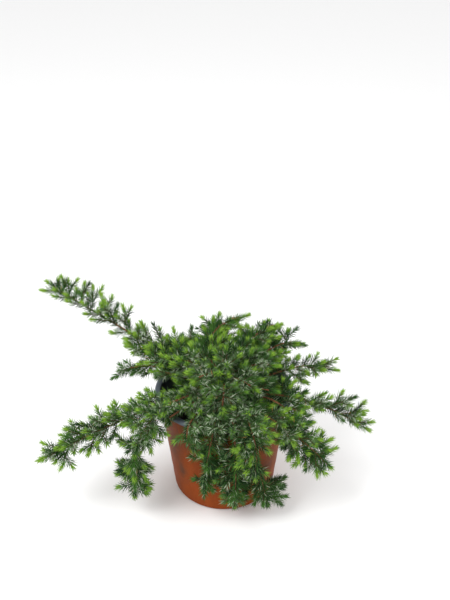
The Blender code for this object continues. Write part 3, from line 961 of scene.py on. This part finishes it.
class Limb:
    """One limb and its shoots, with its own dice and the limits that its shoots keep to."""

    def __init__(self, name, crowd):
        self.name, self.crowd = name, crowd
        self.dice = random.Random(f"{SEED} {name}")
        self.path, self.fresh = PATHS[name], LIMBS[name][3]
        self.in_crown = name.startswith("crown")
        self.in_front = name.startswith("front")
        self.shows_undersides = "front" in name or "hanging" in name
        self.bare = 0.0 if self.in_crown else BARE_LENGTH
        points, outreach = self.path.points, OUTREACHES.get(name, OUTREACH) * MM
        self.ceiling = max(point.z for point in points) + HEADROOMS.get(name, HEADROOM) * MM
        self.outmost = max(point.xy.length for point in points) + outreach
        self.shoots = []

    def grow(self):
        self.grow_tip_shoot()
        self.grow_side_shoots()
        if self.name in LONE_SHOOTS:
            self.grow_lone_shoot()
        self.grow_fine_shoots()

    def keep(self, shoot):
        self.shoots.append(shoot)
        self.crowd.add(shoot.samples())

    def grow_tip_shoot(self):
        """The limb's own end, straight on to its tip."""
        base = self.path.at(self.path.length - TIP_SHOOT)[0]
        line = self.path.points[-1] - base
        length = line.length - TIP_SHOOT_SHORTER
        self.keep(Shoot(base, line, length, UP * TIP_SHOOT_LIFT, self.fresh, tone_of(self.dice)))

    def rolls(self):
        if self.name in ARCHES:
            return ARCH_ROLLS
        return FRONT_ROLLS if self.in_front else SHOOT_ROLLS

    def grow_side_shoots(self):
        """Shoots from the stem, back from the tip, longer towards the trunk."""
        dice, path, rolls = self.dice, self.path, self.rolls()
        room = CROWN_CROWDING if self.in_crown else CROWDING
        spacing = CROWN_SPACING if self.in_crown else SHOOT_SPACING
        if self.in_front:
            spacing *= FRONT_SPACING
        first = path.length - TIP_SHOOT * SHOOTS_FROM
        for index in range(int((path.length - TIP_SHOOT * SHOOTS_COUNTED) / spacing)):
            distance = first - index * spacing * dice.uniform(*SPACING_SPREAD)
            if distance < self.bare * BARE_SHARE + BARE_ROOT:
                continue
            base, direction = path.at(distance)
            roll, share = rolls[index % len(rolls)]
            grown = YOUNGEST_SHOOTS.get(self.name, YOUNGEST_SHOOT) + SHOOT_TAPER * (path.length - distance)
            length = min(SHOOT_LENGTH * share * dice.uniform(*SHOOT_LENGTH_SPREAD), grown)
            length *= SPREADS.get(self.name, 1)
            angle = about(dice, *SHOOT_ANGLE)
            self.grow_shoot(base, direction, length, angle, about(dice, roll, ROLL_SPREAD), room)

    def grow_lone_shoot(self):
        share, aim, length = LONE_SHOOTS[self.name]
        base = self.path.at(self.path.length * share)[0]
        self.keep(Shoot(base, Vector(aim), length, UP * LONE_LIFT, fresh=0.0, tone="old"))

    def grow_fine_shoots(self):
        """Finer shoots on the longer ones, on one side and then the other."""
        dice = self.dice
        for parent in self.shoots[1:]:
            if parent.length < FINE_FROM:
                continue
            side = dice.choice((-1, 1))
            for share in FINE_PLACES:
                distance = parent.length * share * dice.uniform(*SPACING_SPREAD)
                length = dice.uniform(*FINE_LENGTH)
                roll = about(dice, FINE_ROLL * side, FINE_ROLL_SPREAD)
                base, direction = parent.at(distance), parent.along(distance)
                self.grow_shoot(base, direction, length, FINE_ANGLE, roll, FINE_CROWDING)
                side = -side

    def grow_shoot(self, base, direction, length, angle, roll, room):
        """A shoot from a stem or a twig, turned and shortened until it stands free, if it ever does."""
        dice = self.dice
        tone = tone_of(dice)
        fresh = self.fresh if dice.random() < LEAST_FRESH + (1 - LEAST_FRESH) * self.fresh else 0.0
        for attempt in range(SHOOT_TRIES):
            turned_by = roll + attempt * dice.uniform(*TRY_TURN) * (-1) ** attempt
            aim = aimed(direction, about(dice, angle, TRY_ANGLE_SPREAD), turned_by)
            lift = UP * dice.uniform(*LIFTS) + direction * FORWARD
            shoot = Shoot(base, aim, length * (1 - TRY_SHORTER * attempt), lift, fresh, tone)
            if self.stands_free(shoot.samples(), room):
                self.keep(shoot)
                return

    def stands_free(self, spots, room):
        end = spots[-1]
        if end.z > self.ceiling or end.xy.length > self.outmost:
            return False
        if any(blocked(spot, SHOOT_MARGIN) or in_clearing(spot) for spot in spots):
            return False
        return not self.crowd.near(spots[1:], room)


def twig_mesh(shoot):
    centres = [shoot.at(-TWIG_ROOT)]
    centres += [shoot.at(shoot.length * TWIG_END * k / TWIG_STEPS) for k in range(TWIG_STEPS + 1)]
    thick = TWIG_RADIUS * min(TWIG_THICKEST, TWIG_THINNEST + shoot.length / TWIG_THICKENS_OVER)
    thinner = TWIG_TIP_RADIUS - thick
    radii = [thick + thinner * max(0, k - 1) / TWIG_STEPS for k in range(TWIG_STEPS + 2)]
    return tube_mesh(centres, radii, TWIG_SIDES)


# Needles


class Needles:
    """The needles of one piece, gathered as frames and made into one mesh."""

    def __init__(self):
        self.rows = []
        self.colours = []

    def add(self, base, along, up, length, width, bend, under, upper):
        self.rows.append((*base, *along, *up, length, width, bend))
        self.colours.append((COLOUR_INDEX[under], COLOUR_INDEX[upper]))

    def mesh(self, name, materials):
        rows = np.array(self.rows)
        base, along, up = rows[:, 0:3], rows[:, 3:6], rows[:, 6:9]
        length, width, bend = rows[:, 9:10], rows[:, 10:11], rows[:, 11:12]
        across = np.cross(up, along)
        points = np.zeros((len(rows), len(NEEDLE_POINTS), 3))
        for k, (x, y, z) in enumerate(NEEDLE_POINTS):
            rise = z * width + bend * length * x * x
            points[:, k] = base + along * (length * x) + across * (width * y) + up * rise
        starts = np.arange(len(rows))[:, None, None] * len(NEEDLE_POINTS)
        faces = (NEEDLE_FACES[None] + starts).reshape(-1, 3)
        indices = np.zeros((len(rows), len(NEEDLE_FACES)), dtype=np.int32)
        colours = np.array(self.colours)
        indices[:, :UPPER_FACES] = colours[:, 1:2]
        indices[:, UPPER_FACES:] = colours[:, 0:1]
        points, indices = points.reshape(-1, 3), indices.reshape(-1)
        return mesh_object(name, points, faces.tolist(), materials, indices, smooth=True)


def needle_frame(along, spin, lean):
    """A needle's direction and its upper side, at a spin round the twig and a lean away from it."""
    spin, lean = math.radians(spin), math.radians(lean)
    across = along.orthogonal().normalized()
    out = across * math.cos(spin) + along.cross(across) * math.sin(spin)
    return along * math.cos(lean) + out * math.sin(lean), along * math.sin(lean) - out * math.cos(lean)


def whorl_colours(shoot, closing, dice):
    """Colours of the under side of a whorl's needles and of their band, fresher towards a young end."""
    if closing == 0 or shoot.fresh == 0:
        return shoot.tone, "band"
    if closing > TIP_FROM and dice.random() < shoot.fresh:
        return "tip", "fresh"
    grown = closing < GROWN_UP_TO / shoot.fresh - GROWN_LESS
    return "grown" if grown else "fresh", "band_dull"


def needle_colours(under, band, may_be_dead, may_be_turned, dice):
    """Colours of one needle's under and upper faces. A turned needle shows its band below."""
    upper = band if dice.random() < BAND_SHARE else "band_dull"
    if under == "tip":
        return under, "tip" if dice.random() < TIP_ALL_ROUND else band
    if may_be_dead and dice.random() < DEAD_SHARE:
        under = upper = "dead"
    if may_be_turned and dice.random() < TURNED_SHARE:
        return upper, under
    return under, upper


def dress_shoot(shoot, limb, needles):
    """Whorls of three needles along a shoot, short, fresh and closing in at its end."""
    dice = limb.dice
    distance = FIRST_WHORL
    turn = dice.uniform(0, 360 / IN_WHORL)
    young = min(YOUNG_TIP, shoot.length * YOUNG_SHARE)
    while distance < shoot.length + PAST_END:
        base, along = shoot.at(distance), shoot.along(distance)
        share = distance / shoot.length
        closing = max(0.0, 1 - (shoot.length - distance) / young)
        leans_in = LEANS_BY_PLACE * share + LEANS_BY_CLOSING * closing
        lean = NEEDLE_LEANS[0] + (NEEDLE_LEANS[1] - NEEDLE_LEANS[0]) * leans_in
        grown = 1 - SHORT_AT_FOOT + SHORT_AT_FOOT * min(1.0, share * SHORT_THIRDS)
        length = NEEDLE_LENGTH * grown * (1 - SHORT_AT_END * closing)
        under, band = whorl_colours(shoot, closing, dice)
        may_be_dead = closing == 0 and share < DEAD_UP_TO
        for j in range(IN_WHORL):
            spin = about(dice, turn + 360 / IN_WHORL * j, SPIN_SPREAD)
            line, up = needle_frame(along, spin, about(dice, lean, LEAN_SPREAD))
            long = length * dice.uniform(*NEEDLE_LENGTH_SPREAD)
            if blocked(base + line * long, NEEDLE_MARGIN):
                continue
            colours = needle_colours(under, band, may_be_dead, limb.shows_undersides, dice)
            width = NEEDLE_WIDTH * dice.uniform(*NEEDLE_WIDTH_SPREAD)
            needles.add(base, line, up, long, width, dice.uniform(*NEEDLE_BEND), *colours)
        turn += about(dice, *WHORL_TURN)
        distance += WHORL_SPACING * (1 - WHORLS_CLOSER * closing) * dice.uniform(*SPACING_SPREAD)


def dress_stem(limb, needles):
    """Needles that still stand on the limb's own stem, thinning out towards the bare bough."""
    dice, path = limb.dice, limb.path
    cover = FRONT_STEM_COVER if limb.in_front else STEM_COVER
    start = max(limb.bare, STEM_FROM)
    distance = start
    turn = dice.uniform(0, 360 / IN_WHORL)
    while distance < path.length - TIP_SHOOT * STEM_UP_TO:
        share = (distance - start) / (path.length - start)
        base, along = path.at(distance)
        for j in range(IN_WHORL):
            if dice.random() > cover + (1 - cover) * share:
                continue
            line, up = needle_frame(along, turn + 360 / IN_WHORL * j, about(dice, *STEM_LEAN))
            long = NEEDLE_LENGTH * dice.uniform(*STEM_LENGTH_SPREAD)
            if blocked(base + line * long, NEEDLE_MARGIN):
                continue
            upper = "band" if dice.random() < STEM_BAND_SHARE else "band_dull"
            needles.add(base, line, up, long, NEEDLE_WIDTH, STEM_BEND, tone_of(dice), upper)
        turn += about(dice, *STEM_WHORL_TURN)
        distance += WHORL_SPACING * STEM_WHORLS_WIDER


def foliage_pieces():
    """Needles and twigs, each kind apart, in pieces that stand for the solid masses."""
    materials = needle_materials()
    bark = bark_material("twig_bark")
    crowd = Crowd()
    limbs = {name: Limb(name, crowd) for name in LIMBS}
    for limb in limbs.values():
        limb.grow()
    for group, names in GROUPS.items():
        needles, twigs = Needles(), Gathered()
        for name in names:
            limb = limbs[name]
            for shoot in limb.shoots:
                dress_shoot(shoot, limb, needles)
                twigs.add(*twig_mesh(shoot))
            dress_stem(limb, needles)
        leafy = needles.mesh(f"needles_{group}", materials)
        settle(leafy, "foliage", *[f"foliage_{name}" for name in names])
        woody = mesh_object(f"twigs_{group}", twigs.points, twigs.faces, [bark], smooth=True)
        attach(woody, "root")


# Stage


def stage():
    """The pale floor, the soft light and the camera at the photo's angle."""
    scene = bpy.context.scene
    shader = Shader("floor", roughness=0.9, specular=0.1)
    shader.colour(FLOOR_COLOUR)
    corners = [(x * FLOOR_REACH, y * FLOOR_REACH, 0) for x, y in ((-1, -1), (1, -1), (1, 1), (-1, 1))]
    floor = mesh_object("floor", corners, [(0, 1, 2, 3)], [shader.material])
    world = bpy.data.worlds.new("studio")
    world.use_nodes = True
    background = world.node_tree.nodes["Background"]
    background.inputs["Color"].default_value = (1, 1, 1, 1)
    background.inputs["Strength"].default_value = SKY_STRENGTH
    scene.world = world
    for name, place, size, power in LIGHTS:
        light = bpy.data.lights.new(name, "AREA")
        light.size = size
        light.energy = power
        obj = bpy.data.objects.new(name, light)
        obj.location = place
        obj.rotation_euler = (LIGHT_AIM - Vector(place)).to_track_quat("-Z", "Y").to_euler()
        scene.collection.objects.link(obj)
    camera = bpy.data.objects.new("camera", bpy.data.cameras.new("camera"))
    camera.location = CAMERA_PLACE
    camera.rotation_euler = (math.radians(90 - CAMERA_PITCH), 0, 0)
    camera.data.lens = CAMERA_LENS
    camera.data.sensor_width = SENSOR_WIDTH
    camera.data.clip_start = CLIP_START
    scene.collection.objects.link(camera)
    scene.camera = camera
    scene.view_settings.view_transform = "Standard"


stage()
pot_piece()
soil_piece()
chips_piece()
trunk_piece()
limbs_piece()
foliage_pieces()
